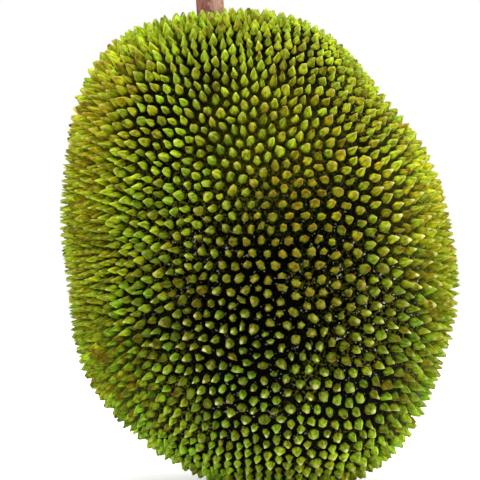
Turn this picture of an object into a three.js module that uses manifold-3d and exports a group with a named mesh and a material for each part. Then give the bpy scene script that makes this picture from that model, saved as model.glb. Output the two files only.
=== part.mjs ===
// A whole jackfruit as picked, with its cut stalk, standing on its blossom end.
// Millimetres, +Z up. The origin is the middle of the flat spot that the fruit rests on.
//
// fruit: one solid. Its skin is a leaning egg, covered all over by many-sided spines that meet at
//        grooves. The tips that meet the surface below are blunted flat.
// stalk: the woody peduncle, set in a socket in the top of the fruit, and cut off square.

import * as THREE from "three";
import { ConvexHull } from "three/addons/math/ConvexHull.js";
import { mergeVertices } from "three/addons/utils/BufferGeometryUtils.js";
import Module from "manifold-3d";

const degrees = THREE.MathUtils.degToRad;

// ---- the fruit's form: the surface that its spine tips reach, about the fruit's centre ----
const MEAN_RADIUS = 142;
const ELONGATION = 0.129; // the ends lie this share further out than the mean, the waist nearer
const LEAN = degrees(15); // of the long axis from upright, the stalk's end towards -X
const LONG_AXIS = new THREE.Vector3(-Math.sin(LEAN), 0, Math.cos(LEAN));
// Low swellings that make the egg lopsided. Each is a wave round the fruit in the plane of two
// axes: its number of crests, its height as a share of the mean radius, and the first crest's angle.
const SWELLINGS = [
  { plane: ["x", "z"], crests: 3, height: 0.019, angle: degrees(-8) },
  { plane: ["x", "z"], crests: 4, height: 0.02, angle: degrees(31) },
  { plane: ["x", "z"], crests: 5, height: 0.009, angle: degrees(2) },
  { plane: ["x", "z"], crests: 6, height: 0.0065, angle: degrees(8) },
  { plane: ["x", "z"], crests: 7, height: 0.006, angle: degrees(24) },
  { plane: ["x", "z"], crests: 8, height: 0.011, angle: degrees(-12) },
  { plane: ["x", "y"], crests: 2, height: 0.07, angle: degrees(-45) },
  { plane: ["y", "z"], crests: 3, height: 0.014, angle: degrees(80) },
];

// ---- the spines ----
const SPINE_COUNT = 1700;
const SPINE_HEIGHT = 11;
const SPINE_UNEVENNESS = 1.6; // how far tips stand short of the form, at most
const SITE_WANDER = 0.22; // of a site from its even place, as a share of the spacing
const GOLDEN_ANGLE = Math.PI * (3 - Math.sqrt(5));

// ---- the flat spot that the fruit stands on ----
const FLAT_DEPTH = 7; // of its tips, lost to it in the middle
const FLAT_TURN = degrees(7); // of its middle from straight below the fruit's centre, towards +X

// ---- the stalk ----
const STALK_TURN = degrees(10.6); // of its foot from straight above the fruit's centre, towards -X
const STALK_RADIUS = 9;
const STALK_FLARE = 10.4; // radius at its foot, where it spreads into the fruit
const STALK_LENGTH = 64;
const STALK_SUNK = 9; // of its length that lies below the skin
const STALK_LEAN = degrees(-4.5);
const STALK_SIDES = 28;
const CLEARANCE = 0.3; // between the stalk and its socket

/** The distance from the fruit's centre to the surface of the spine tips, along a unit direction. */
function formRadius(direction) {
  const along = direction.dot(LONG_AXIS);
  let share = 1 + ELONGATION * (2 * along * along - 1);
  for (const { plane, crests, height, angle } of SWELLINGS) {
    const [p, q] = plane.map((axis) => direction[axis]);
    share += height * Math.hypot(p, q) ** crests * Math.cos(crests * (Math.atan2(q, p) - angle));
  }
  return MEAN_RADIUS * share;
}

const TO_FLAT = new THREE.Vector3(Math.sin(FLAT_TURN), 0, -Math.cos(FLAT_TURN));
const CENTRE = TO_FLAT.clone().multiplyScalar(FLAT_DEPTH - formRadius(TO_FLAT));

/**
 * Unit directions of the spines: a spiral over an egg, so they crowd a little at its ends. One of
 * them stands in the middle of the flat spot.
 */
function spineSites() {
  const toLongAxis = new THREE.Quaternion().setFromUnitVectors(
    new THREE.Vector3(0, 0, 1),
    LONG_AXIS,
  );
  const endRadius = 1 + ELONGATION;
  const waistRadius = 1 - ELONGATION;
  const spacing = Math.sqrt((4 * Math.PI) / SPINE_COUNT);
  const wander = () => (THREE.MathUtils.seededRandom() - 0.5) * 2 * SITE_WANDER * spacing;
  THREE.MathUtils.seededRandom(7);
  const sites = Array.from({ length: SPINE_COUNT }, (_, i) => {
    const height = 1 - (2 * i + 1) / SPINE_COUNT;
    const ring = waistRadius * Math.sqrt(1 - height * height);
    const turn = i * GOLDEN_ANGLE;
    return new THREE.Vector3(ring * Math.cos(turn), ring * Math.sin(turn), endRadius * height)
      .add(new THREE.Vector3(wander(), wander(), wander()))
      .applyQuaternion(toLongAxis)
      .normalize();
  });
  sites.reduce((a, b) => (a.dot(TO_FLAT) > b.dot(TO_FLAT) ? a : b)).copy(TO_FLAT);
  return sites;
}

/** The spiny body, closed: each spine is a pyramid on the grooves half way to its neighbours. */
function spinyBody() {
  const tipOf = new Map();
  const grooveOf = new Map();
  const onForm = (direction, depth) =>
    direction.clone().multiplyScalar(formRadius(direction) - depth).add(CENTRE);
  // Faces of the hull of the sites join each spine to its neighbours. Their middles are the
  // corners of the grooves.
  const hull = new ConvexHull().setFromPoints(spineSites());
  hull.faces.forEach((face) => {
    grooveOf.set(face, onForm(face.midpoint.clone().normalize(), SPINE_HEIGHT));
  });
  hull.vertices.forEach(({ point }) => {
    tipOf.set(point, onForm(point, SPINE_UNEVENNESS * THREE.MathUtils.seededRandom()));
  });
  const corners = [];
  for (const face of hull.faces) {
    for (let i = 0; i < 3; i++) {
      const edge = face.getEdge(i);
      corners.push(tipOf.get(edge.head().point), grooveOf.get(face), grooveOf.get(edge.twin.face));
    }
  }
  return new THREE.BufferGeometry().setFromPoints(corners);
}

/** The stalk, turned about +Z with its foot at the origin. */
function stalkGeometry() {
  const profile = [
    [0, 0],
    [STALK_FLARE, 0],
    [STALK_FLARE, STALK_SUNK],
    [STALK_RADIUS * 1.02, STALK_SUNK * 2],
    [STALK_RADIUS * 0.98, STALK_LENGTH * 0.6],
    [STALK_RADIUS, STALK_LENGTH],
    [0, STALK_LENGTH],
  ];
  return new THREE.LatheGeometry(
    profile.map(([radius, height]) => new THREE.Vector2(radius, height)),
    STALK_SIDES,
  ).rotateX(Math.PI / 2);
}

const TO_STALK = new THREE.Vector3(-Math.sin(STALK_TURN), 0, Math.cos(STALK_TURN));
const stalkFoot = TO_STALK.clone()
  .multiplyScalar(formRadius(TO_STALK) - SPINE_HEIGHT - STALK_SUNK)
  .add(CENTRE);
const stalkPlace = new THREE.Matrix4().makeRotationY(STALK_LEAN).setPosition(stalkFoot);

const wasm = await Module();
wasm.setup();

/** A closed geometry as a solid that can be cut. */
function solid(geometry) {
  const bare = (geometry.index ? geometry.toNonIndexed() : geometry.clone())
    .deleteAttribute("normal")
    .deleteAttribute("uv");
  const merged = mergeVertices(bare, 1e-3);
  return new wasm.Manifold(
    new wasm.Mesh({
      numProp: 3,
      vertProperties: merged.attributes.position.array,
      triVerts: new Uint32Array(merged.index.array),
    }),
  );
}

/** A solid's surface as a geometry. */
function surface(manifold) {
  const { vertProperties, triVerts } = manifold.getMesh();
  return new THREE.BufferGeometry()
    .setAttribute("position", new THREE.BufferAttribute(vertProperties, 3))
    .setIndex(new THREE.BufferAttribute(triVerts, 1));
}

const socketRadius = STALK_FLARE + CLEARANCE;
const socketDepth = 2 * MEAN_RADIUS;
const socket = new THREE.CylinderGeometry(socketRadius, socketRadius, socketDepth, STALK_SIDES)
  .rotateX(Math.PI / 2)
  .translate(0, 0, socketDepth / 2 - CLEARANCE)
  .applyMatrix4(stalkPlace);
const groundSize = 4 * MEAN_RADIUS;
const ground = new THREE.BoxGeometry(groundSize, groundSize, groundSize).translate(
  0,
  0,
  -groundSize / 2,
);
const fruitGeometry = surface(
  solid(spinyBody()).subtract(solid(ground)).subtract(solid(socket)),
);

const jackfruit = new THREE.Group();

const fruit = new THREE.Mesh(
  fruitGeometry,
  new THREE.MeshStandardMaterial({ color: 0x98a727, roughness: 0.55, metalness: 0 }),
);
fruit.name = "fruit";
jackfruit.add(fruit);

const stalk = new THREE.Mesh(
  stalkGeometry(),
  new THREE.MeshStandardMaterial({ color: 0xa07064, roughness: 0.8, metalness: 0 }),
);
stalk.name = "stalk";
stalk.position.copy(stalkFoot);
stalk.rotation.y = STALK_LEAN;
jackfruit.add(stalk);

export default jackfruit;
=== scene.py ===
"""A whole jackfruit with its cut stalk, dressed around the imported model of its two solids.

Lengths are in metres and angles in radians, with +Z up. The origin is the middle of the flat spot
that the fruit stands on, and the fruit's fullest side faces -Y.

The rind is one closed mesh: a skin of many-sided cells, with a blunt spine raised on each of them.
The stalk is a woody shoot with its bark and its sawn end. Both follow the sizes of the solids that
they stand for.
"""

from __future__ import annotations

import logging
import math
from dataclasses import dataclass, field
from enum import Enum, IntEnum
from typing import Any

import bmesh
import bpy
import numpy as np
from mathutils import Matrix, Vector, noise
from mathutils.kdtree import KDTree

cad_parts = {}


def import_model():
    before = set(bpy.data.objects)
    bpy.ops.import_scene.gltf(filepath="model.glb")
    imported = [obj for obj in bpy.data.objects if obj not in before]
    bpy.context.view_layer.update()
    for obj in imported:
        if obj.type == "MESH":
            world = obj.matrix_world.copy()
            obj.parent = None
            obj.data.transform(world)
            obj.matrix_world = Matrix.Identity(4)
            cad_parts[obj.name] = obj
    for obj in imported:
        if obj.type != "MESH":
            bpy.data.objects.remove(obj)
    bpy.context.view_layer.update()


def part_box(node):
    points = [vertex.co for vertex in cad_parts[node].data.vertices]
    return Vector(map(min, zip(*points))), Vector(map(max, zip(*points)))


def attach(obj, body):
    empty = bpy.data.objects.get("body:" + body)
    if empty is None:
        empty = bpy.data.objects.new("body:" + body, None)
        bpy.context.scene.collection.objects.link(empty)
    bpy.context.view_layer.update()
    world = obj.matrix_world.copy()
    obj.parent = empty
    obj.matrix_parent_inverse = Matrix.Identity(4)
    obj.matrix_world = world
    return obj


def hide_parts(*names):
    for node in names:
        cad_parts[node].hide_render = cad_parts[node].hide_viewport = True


LOG = logging.getLogger("jackfruit")

Colour = tuple[float, float, float, float]
Span = tuple[float, float]
Socket = bpy.types.NodeSocket


class Slot(Enum):
    """The record's material slots."""

    RIND = "rind"
    STALK = "stalk_wood"


class Attribute(Enum):
    """Named values that the meshes carry for their finishes."""

    HEIGHT = "spine_height"  # how high a spine is, kept only while the spines are raised
    RISE = "rise"  # share of the way from the groove to the tip
    AXIS = "spine_axis"  # the unit direction that a spine points in
    CELL = "cell_random"  # one random share for each spine
    SHADE = "cell_shade"  # another random share for each spine
    CUT = "cut"  # share of the way from the bark to the middle of the stalk's cut end


class Stream(IntEnum):
    """Which of the spines' random numbers a draw takes."""

    CELL = 0
    HEIGHT = 1
    WIDTH = 2  # of the lowest ring, with one for each further ring after it
    SHADE = 20


def colour(red: float, green: float, blue: float) -> Colour:
    """Gives an opaque linear colour."""
    return (red, green, blue, 1.0)


def unit(vectors: np.ndarray) -> np.ndarray:
    """Gives the unit direction of each row."""
    return vectors / np.linalg.norm(vectors, axis=1)[:, None]


def smooth_step(low: float, high: float, value: np.ndarray) -> np.ndarray:
    """Rises smoothly from 0 where value is low to 1 where it is high."""
    share = np.clip((value - low) / (high - low), 0.0, 1.0)
    return share * share * (3.0 - 2.0 * share)


def linked(name: str, data: bpy.types.ID) -> bpy.types.Object:
    """Makes an object at the origin and links it to the scene.

    Args:
        name: The object's name.
        data: Its mesh, light or camera.

    Returns:
        The object.
    """
    made = bpy.data.objects.new(name, data)
    bpy.context.scene.collection.objects.link(made)
    return made


def as_mesh(name: str, shell: bmesh.types.BMesh) -> bpy.types.Mesh:
    """Turns a bmesh into a mesh, and frees it.

    Args:
        name: The mesh's name.
        shell: The bmesh.

    Returns:
        The mesh.
    """
    mesh = bpy.data.meshes.new(name)
    shell.to_mesh(mesh)
    shell.free()
    return mesh


# ---------------------------------------------------------------------------------------------
# Node trees
# ---------------------------------------------------------------------------------------------


@dataclass
class Graph:
    """Adds nodes to one tree, and joins their sockets.

    Attributes:
        tree: The node tree that is being built.
    """

    tree: bpy.types.NodeTree

    def add(self, kind: str, inputs: dict[str | int, Any] | None = None, **settings: Any) -> bpy.types.Node:
        """Adds a node.

        Args:
            kind: Blender's name for the type of node.
            inputs: What each input gets, by the socket's name or number: a socket or a value.
            settings: The node's own settings.

        Returns:
            The new node.
        """
        node = self.tree.nodes.new(kind)
        for name, value in settings.items():
            setattr(node, name, value)
        for key, value in (inputs or {}).items():
            self.feed(self.socket(node, key), value)
        return node

    @staticmethod
    def socket(node: bpy.types.Node, key: str | int) -> Socket:
        """Finds an input of a node by its number, or the first one in use that has the name.

        Args:
            node: The node.
            key: The input's number or name.

        Returns:
            The input.
        """
        if isinstance(key, int):
            return node.inputs[key]
        return next(s for s in node.inputs if s.name == key and s.enabled)

    def feed(self, target: Socket, value: Any) -> None:
        """Joins an input to a socket, or sets it to a value.

        Args:
            target: The input.
            value: A socket, a plain value, or a node, which stands for its first output in use.
        """
        if isinstance(value, bpy.types.Node):
            value = next(s for s in value.outputs if s.enabled)
        if isinstance(value, bpy.types.NodeSocket):
            self.tree.links.new(value, target)
        else:
            target.default_value = value

    def math(self, operation: str, *values: Any, clamp: bool = False) -> Socket:
        """Adds a Math node and returns its result."""
        node = self.add("ShaderNodeMath", dict(enumerate(values)), operation=operation, use_clamp=clamp)
        return node.outputs[0]

    def plus(self, first: Any, second: Any, clamp: bool = False) -> Socket:
        """Adds two numbers."""
        return self.math("ADD", first, second, clamp=clamp)

    def minus(self, first: Any, second: Any) -> Socket:
        """Takes the second number from the first."""
        return self.math("SUBTRACT", first, second)

    def times(self, first: Any, second: Any) -> Socket:
        """Multiplies two numbers."""
        return self.math("MULTIPLY", first, second)

    def larger(self, first: Any, second: Any) -> Socket:
        """Gives the larger of two numbers."""
        return self.math("MAXIMUM", first, second)

    def about_zero(self, share: Any, spread: Any) -> Socket:
        """Spreads a share, which goes from 0 to 1, as far below 0 as above it."""
        return self.times(self.minus(share, 0.5), spread)

    def vector_math(self, operation: str, *values: Any, output: int = 0) -> Socket:
        """Adds a Vector Math node for two vectors, or for one, and returns one of its outputs."""
        node = self.add("ShaderNodeVectorMath", dict(enumerate(values)), operation=operation)
        return node.outputs[output]

    def scaled(self, vector: Any, scale: Any) -> Socket:
        """Gives a vector times a number."""
        node = self.add("ShaderNodeVectorMath", {0: vector, "Scale": scale}, operation="SCALE")
        return node.outputs[0]

    def mixed(self, share: Any, first: Any, second: Any, blend: str = "MIX") -> Socket:
        """Mixes two colours and returns the result.

        Args:
            share: Of the second colour, from 0 to 1.
            first: The first colour.
            second: The second colour.
            blend: How the second one is laid over the first.

        Returns:
            The mixed colour.
        """
        inputs = {"Factor": share, "A": first, "B": second}
        node = self.add("ShaderNodeMix", inputs, data_type="RGBA", blend_type=blend)
        return next(s for s in node.outputs if s.enabled)

    def stepped(self, value: Any, low: Any, high: Any, to: Span = (0.0, 1.0)) -> Socket:
        """Maps a value smoothly from the range low to high to another range.

        Args:
            value: What is mapped.
            low: Where the range starts.
            high: Where it ends, which may lie below its start.
            to: What its start and its end become.

        Returns:
            The mapped value.
        """
        node = self.add(
            "ShaderNodeMapRange",
            {"Value": value, "From Min": low, "From Max": high, "To Min": to[0], "To Max": to[1]},
            interpolation_type="SMOOTHSTEP",
        )
        return node.outputs[0]


def started_tree(
    name: str, kind: str, inputs: dict[str, str | float], outputs: dict[str, str]
) -> tuple[Graph, Any, Any]:
    """Starts a node group with its named inputs and outputs.

    Args:
        name: The group's name.
        kind: Blender's name for the type of tree.
        inputs: The socket type of each input, or the default value where it is a number.
        outputs: The socket type of each output.

    Returns:
        The graph to build it with, what it is given, and where its results go.
    """
    tree = bpy.data.node_groups.new(name, kind)
    for label, value in inputs.items():
        if isinstance(value, str):
            tree.interface.new_socket(label, in_out="INPUT", socket_type=value)
        else:
            socket = tree.interface.new_socket(label, in_out="INPUT", socket_type="NodeSocketFloat")
            socket.default_value = value
    for label, value in outputs.items():
        tree.interface.new_socket(label, in_out="OUTPUT", socket_type=value)
    graph = Graph(tree)
    return graph, graph.add("NodeGroupInput").outputs, graph.add("NodeGroupOutput").inputs


def mask_group(name: str, **numbers: float) -> tuple[Graph, Any, Socket]:
    """Starts a shader node group that makes a mask.

    Args:
        name: The group's name.
        numbers: The default value of each number that it takes. It also takes Position.

    Returns:
        The graph to build it with, what it is given, and where its mask goes.
    """
    graph, given, results = started_tree(
        name, "ShaderNodeTree", {"Position": "NodeSocketVector", **numbers}, {"Mask": "NodeSocketFloat"}
    )
    return graph, given, results["Mask"]


def build_mottle() -> bpy.types.NodeTree:
    """Builds the group for soft patches: a mask that drifts between 0 and 1 over the surface.

    Returns:
        The group.
    """
    graph, given, mask = mask_group("mottle", Scale=20.0, Low=0.4, High=0.6)
    inputs = {"Vector": given["Position"], "Scale": given["Scale"], "Detail": 3.0}
    clouds = graph.add("ShaderNodeTexNoise", inputs)
    graph.feed(mask, graph.stepped(clouds.outputs["Fac"], given["Low"], given["High"]))
    return graph.tree


def build_flecks() -> bpy.types.NodeTree:
    """Builds the group for small round flecks, of which only a share shows.

    Returns:
        The group.
    """
    solid = 0.6  # the share of a fleck inside its soft edge
    graph, given, mask = mask_group("flecks", Scale=400.0, Size=0.3, Share=0.3)
    inputs = {"Vector": given["Position"], "Scale": given["Scale"], "Randomness": 1.0}
    cells = graph.add("ShaderNodeTexVoronoi", inputs)
    inside = graph.stepped(cells.outputs["Distance"], given["Size"], graph.times(given["Size"], solid))
    chance = graph.add("ShaderNodeSeparateColor", {"Color": cells.outputs["Color"]})
    chosen = graph.math("LESS_THAN", chance.outputs[0], given["Share"])
    graph.feed(mask, graph.times(inside, chosen))
    return graph.tree


@dataclass(frozen=True)
class SharedEffects:
    """The shader groups that more than one finish uses.

    Attributes:
        mottle: The group for soft patches.
        flecks: The group for small round flecks.
    """

    mottle: bpy.types.NodeTree
    flecks: bpy.types.NodeTree


@dataclass(frozen=True)
class Mottle:
    """One kind of soft patches, spread all over a surface.

    Attributes:
        scale: How fine they are, which is about how many there are to a metre.
        low: The level of the noise behind them up to which nothing shows.
        high: The level from which they show in full.
        strength: How strongly they show then.
        drawn: How much lower both levels are in the places that draw them.
    """

    scale: float
    low: float
    high: float
    strength: float = 1.0
    drawn: float = 0.0


@dataclass(frozen=True)
class Patch:
    """A soft round patch in one place on a surface.

    Attributes:
        middle: Its middle.
        reach: How far from that it has faded out.
        strength: How strongly it shows in the middle, from 0 to 1.
    """

    middle: tuple[float, float, float]
    reach: float
    strength: float

    @property
    def core(self) -> float:
        """How far from its middle it shows in full."""
        return 0.2 * self.reach

    def at(self, points: np.ndarray) -> np.ndarray:
        """Gives how strongly it shows at points, one to a row."""
        away = np.linalg.norm(points - np.array(self.middle), axis=1)
        return self.strength * (1.0 - smooth_step(self.core, self.reach, away))


@dataclass
class Finish:
    """A material that is being built around one Principled BSDF.

    Attributes:
        name: The material's name.
        effects: The shader groups that it may place.
    """

    name: str
    effects: SharedEffects
    material: bpy.types.Material = field(init=False)
    graph: Graph = field(init=False)
    surface: bpy.types.Node = field(init=False)
    position: Socket = field(init=False)

    def __post_init__(self) -> None:
        """Makes the empty material."""
        self.material = bpy.data.materials.new(self.name)
        self.material.use_nodes = True
        self.graph = Graph(self.material.node_tree)
        self.surface = self.material.node_tree.nodes["Principled BSDF"]
        self.position = self.graph.add("ShaderNodeTexCoord").outputs["Object"]

    def placed(self, group: bpy.types.NodeTree, **values: Any) -> Socket:
        """Places a shader group and returns its mask.

        Args:
            group: The group.
            values: What each of its inputs gets.

        Returns:
            The mask.
        """
        node = self.graph.add("ShaderNodeGroup", node_tree=group)
        for label, value in values.items():
            self.graph.feed(node.inputs[label], value)
        return node.outputs["Mask"]

    def mottle(self, kind: Mottle, place: Any = None, drawing: Any = None) -> Socket:
        """Gives the mask of soft patches.

        Args:
            kind: Which patches.
            place: What they are laid out over, if it isn't the position.
            drawing: How strongly each place draws them, from 0 to 1, if any does.

        Returns:
            The mask, from 0 to their strength.
        """
        low, high = kind.low, kind.high
        if drawing is not None:
            low = self.graph.minus(low, self.graph.times(drawing, kind.drawn))
            high = self.graph.plus(low, kind.high - kind.low)
        over = self.position if place is None else place
        mask = self.placed(self.effects.mottle, Position=over, Scale=kind.scale, Low=low, High=high)
        return mask if kind.strength == 1.0 else self.graph.times(mask, kind.strength)

    def flecks(self, scale: float, size: float, share: float) -> Socket:
        """Gives the mask of small round flecks: how fine, how large in their cells, in how many."""
        values = {"Position": self.position, "Scale": scale, "Size": size, "Share": share}
        return self.placed(self.effects.flecks, **values)

    def attribute(self, attribute: Attribute, output: str = "Fac") -> Socket:
        """Reads a named value of the mesh."""
        return self.graph.add("ShaderNodeAttribute", attribute_name=attribute.value).outputs[output]

    def zone(self, patches: tuple[Patch, ...]) -> Socket:
        """Gives how strongly some patches show at a point, from 0 to 1.

        Args:
            patches: The patches, which add up where they meet.

        Returns:
            The mask.
        """
        total: Any = 0.0
        for patch in patches:
            away = self.graph.vector_math("DISTANCE", self.position, patch.middle, output=1)
            inside = self.graph.stepped(away, patch.reach, patch.core, (0.0, patch.strength))
            total = self.graph.plus(total, inside, clamp=True)
        return total

    def feed(self, **sockets: Any) -> None:
        """Sets inputs of the Principled BSDF, named with _ for a space."""
        for label, value in sockets.items():
            self.graph.feed(self.surface.inputs[label.replace("_", " ")], value)

    def bumped(self, height: Any, distance: float) -> None:
        """Lets a height turn the surface's normals, where a height of 1 stands that distance out."""
        inputs = {"Height": height, "Distance": distance, "Strength": 1.0}
        self.feed(Normal=self.graph.add("ShaderNodeBump", inputs))


# ---------------------------------------------------------------------------------------------
# The rind
# ---------------------------------------------------------------------------------------------


@dataclass(frozen=True)
class Swelling:
    """A low wave round the fruit that makes its egg lopsided.

    Attributes:
        plane: The two axes that it turns in.
        crests: How many crests it has.
        height: Their height, as a share of the mean radius.
        angle: The first crest's angle.
    """

    plane: tuple[int, int]
    crests: int
    height: float
    angle: float


@dataclass(frozen=True)
class Form:
    """The lopsided egg that the spine tips reach, about the fruit's centre.

    Attributes:
        mean_radius: Its mean radius.
        elongation: The share of it by which the ends lie further out, and the waist nearer.
        lean: Of the long axis from upright, the stalk's end towards -X.
        swellings: The low waves on it.
        flat_depth: Of the tips, lost to the flat spot in its middle.
        flat_turn: Of the flat spot's middle from straight below the centre, towards +X.
        stalk_turn: Of the stalk's foot from straight above the centre, towards -X.
    """

    mean_radius: float = 0.142
    elongation: float = 0.129
    lean: float = math.radians(15)
    swellings: tuple[Swelling, ...] = (
        Swelling((0, 2), 3, 0.019, math.radians(-8)),
        Swelling((0, 2), 4, 0.020, math.radians(31)),
        Swelling((0, 2), 5, 0.009, math.radians(2)),
        Swelling((0, 2), 6, 0.0065, math.radians(8)),
        Swelling((0, 2), 7, 0.006, math.radians(24)),
        Swelling((0, 2), 8, 0.011, math.radians(-12)),
        Swelling((0, 1), 2, 0.070, math.radians(-45)),
        Swelling((1, 2), 3, 0.014, math.radians(80)),
    )
    flat_depth: float = 0.007
    flat_turn: float = math.radians(7)
    stalk_turn: float = math.radians(10.6)

    @property
    def long_axis(self) -> np.ndarray:
        """The unit direction of the long axis, towards the stalk's end."""
        return np.array([-math.sin(self.lean), 0.0, math.cos(self.lean)])

    @property
    def to_flat(self) -> np.ndarray:
        """The unit direction from the centre to the middle of the flat spot."""
        return np.array([math.sin(self.flat_turn), 0.0, -math.cos(self.flat_turn)])

    @property
    def to_stalk(self) -> np.ndarray:
        """The unit direction from the centre to the stalk's foot."""
        return np.array([-math.sin(self.stalk_turn), 0.0, math.cos(self.stalk_turn)])

    @property
    def centre(self) -> np.ndarray:
        """The fruit's centre. The flat spot's middle is then the origin."""
        return self.to_flat * (self.flat_depth - self.radius(self.to_flat[None])[0])

    def radius(self, directions: np.ndarray) -> np.ndarray:
        """Gives the distance from the centre to the form.

        Args:
            directions: Unit directions, one to a row.

        Returns:
            One distance for each of them.
        """
        along = directions @ self.long_axis
        share = 1.0 + self.elongation * (2.0 * along**2 - 1.0)
        for wave in self.swellings:
            p, q = (directions[:, axis] for axis in wave.plane)
            turn = wave.crests * (np.arctan2(q, p) - wave.angle)
            share = share + wave.height * np.hypot(p, q) ** wave.crests * np.cos(turn)
        return self.mean_radius * share


@dataclass(frozen=True)
class Ring:
    """One level of a spine.

    Attributes:
        rise: Its share of the spine's height.
        width: Its share of the width of the spine's cell.
    """

    rise: float
    width: float


@dataclass
class SpineTree:
    """The Geometry Nodes tree that raises a spine on every cell of a skin.

    Attributes:
        rings: The spine's levels from low to high. The last one is its blunt tip.
        shoulder: The number of the ring that is crooked.
        numbers: The tree's named inputs, with what each is unless the modifier sets it.
    """

    rings: tuple[Ring, ...] = (
        Ring(0.12, 0.62),
        Ring(0.44, 0.53),
        Ring(0.76, 0.30),
        Ring(1.00, 0.12),
    )
    shoulder: int = 1
    numbers: dict[str, float] = field(
        default_factory=lambda: {
            "Spine Height": 0.0090,
            "Unevenness": 0.15,
            "Lean": 0.15,
            "Width Wander": 0.20,
            "Crook": 0.52,
            "Crook Scale": 210.0,
            "Ground": 0.0,
        }
    )

    def build(self) -> bpy.types.NodeTree:
        """Builds the tree.

        Returns:
            A tree that takes a closed triangle mesh, one vertex for each spine. Its attribute
            spine_height gives each spine's share of the full height.
        """
        sockets = {"Seed": "NodeSocketInt", "Finish": "NodeSocketMaterial"}
        graph, given, results = started_tree(
            "raise_spines",
            "GeometryNodeTree",
            {"Skin": "NodeSocketGeometry", **self.numbers, **sockets},
            {"Spiny Skin": "NodeSocketGeometry"},
        )
        seed = given["Seed"]
        cells = graph.add("GeometryNodeDualMesh", {"Mesh": given["Skin"]})
        cells = self.store(graph, cells, Attribute.CELL, "FACE", self.chance(graph, seed, Stream.CELL))
        cells = self.store(graph, cells, Attribute.SHADE, "FACE", self.chance(graph, seed, Stream.SHADE))
        cells = self.store(graph, cells, Attribute.AXIS, "FACE", self.axis(graph, given), "FLOAT_VECTOR")
        short = graph.times(self.chance(graph, seed, Stream.HEIGHT), given["Unevenness"])
        tallest = graph.times(given["Spine Height"], graph.minus(1.0, short))
        height = graph.times(tallest, self.stored(graph, Attribute.HEIGHT))
        cells = self.store(graph, cells, Attribute.HEIGHT, "FACE", height)
        cells = self.store(graph, cells, Attribute.RISE, "POINT", 0.0)
        spines = self.grounded(graph, self.raised(graph, cells, given), given["Ground"])
        inputs = {"Geometry": spines, "Name": Attribute.HEIGHT.value}
        spines = graph.add("GeometryNodeRemoveAttribute", inputs)
        whole = graph.add("GeometryNodeRealizeInstances", {"Geometry": spines})
        dressed = graph.add("GeometryNodeSetMaterial", {"Geometry": whole, "Material": given["Finish"]})
        graph.feed(results["Spiny Skin"], dressed)
        return graph.tree

    @staticmethod
    def chance(graph: Graph, seed: Socket, stream: int) -> Socket:
        """Gives a random share for each element, a different one for each stream.

        Args:
            graph: The tree.
            seed: The tree's seed.
            stream: Which random numbers it draws.

        Returns:
            The share, from 0 to 1.
        """
        inputs = {"Min": 0.0, "Max": 1.0, "Seed": graph.plus(seed, float(stream + 1))}
        node = graph.add("FunctionNodeRandomValue", inputs, data_type="FLOAT")
        return next(s for s in node.outputs if s.enabled)

    @staticmethod
    def store(
        graph: Graph,
        mesh: Any,
        name: Attribute,
        domain: str,
        value: Any,
        kind: str = "FLOAT",
        selection: Any = True,
    ) -> bpy.types.Node:
        """Stores a named value on part of the mesh."""
        inputs = {"Geometry": mesh, "Selection": selection, "Name": name.value, "Value": value}
        return graph.add("GeometryNodeStoreNamedAttribute", inputs, data_type=kind, domain=domain)

    @staticmethod
    def stored(graph: Graph, name: Attribute, kind: str = "FLOAT") -> Socket:
        """Reads a named value back."""
        inputs = {"Name": name.value}
        return graph.add("GeometryNodeInputNamedAttribute", inputs, data_type=kind).outputs[0]

    @staticmethod
    def axis(graph: Graph, given: Any) -> Socket:
        """Gives the direction of each cell's spine: outwards, with a small random lean.

        Args:
            graph: The tree.
            given: What the tree is given.

        Returns:
            The unit direction.
        """
        normal = graph.add("GeometryNodeInputNormal")
        inputs = {"Min": (-1.0, -1.0, -1.0), "Max": (1.0, 1.0, 1.0), "Seed": given["Seed"]}
        jitter = graph.add("FunctionNodeRandomValue", inputs, data_type="FLOAT_VECTOR")
        leaning = graph.vector_math("ADD", normal, graph.scaled(jitter, given["Lean"]))
        return graph.vector_math("NORMALIZE", leaning)

    def raised(self, graph: Graph, cells: Any, given: Any) -> Any:
        """Raises the rings of every spine, one above the other.

        Args:
            graph: The tree.
            cells: The cells of the skin, with what is stored on them.
            given: What the tree is given.

        Returns:
            The cells with their spines.
        """
        mesh, top, below = cells, True, Ring(0.0, 1.0)
        for number, ring in enumerate(self.rings):
            chance = self.chance(graph, given["Seed"], Stream.WIDTH + number)
            wander = graph.about_zero(chance, given["Width Wander"])
            width = graph.times(ring.width / below.width, graph.plus(1.0, wander))
            mesh, top = self.lifted(graph, mesh, top, ring.rise - below.rise, width)
            mesh = self.store(graph, mesh, Attribute.RISE, "POINT", ring.rise, selection=top)
            if number == self.shoulder:
                mesh = self.crooked(graph, mesh, top, given)
            below = ring
        return mesh

    def lifted(self, graph: Graph, mesh: Any, top: Any, rise: float, width: Any) -> tuple[Any, Socket]:
        """Extrudes the top faces along their axes.

        Args:
            graph: The tree.
            mesh: What is extruded.
            top: Which faces of it.
            rise: How far, as a share of each spine's height.
            width: The new faces' width, as a share of the old ones'.

        Returns:
            The new mesh, and which of its faces are on top.
        """
        extruded = graph.add(
            "GeometryNodeExtrudeMesh",
            {
                "Mesh": mesh,
                "Selection": top,
                "Offset": self.stored(graph, Attribute.AXIS, "FLOAT_VECTOR"),
                "Offset Scale": graph.times(self.stored(graph, Attribute.HEIGHT), rise),
                "Individual": True,
            },
            mode="FACES",
        )
        top = extruded.outputs["Top"]
        inputs = {"Geometry": extruded.outputs["Mesh"], "Selection": top, "Scale": width}
        return graph.add("GeometryNodeScaleElements", inputs, domain="FACE"), top

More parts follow.
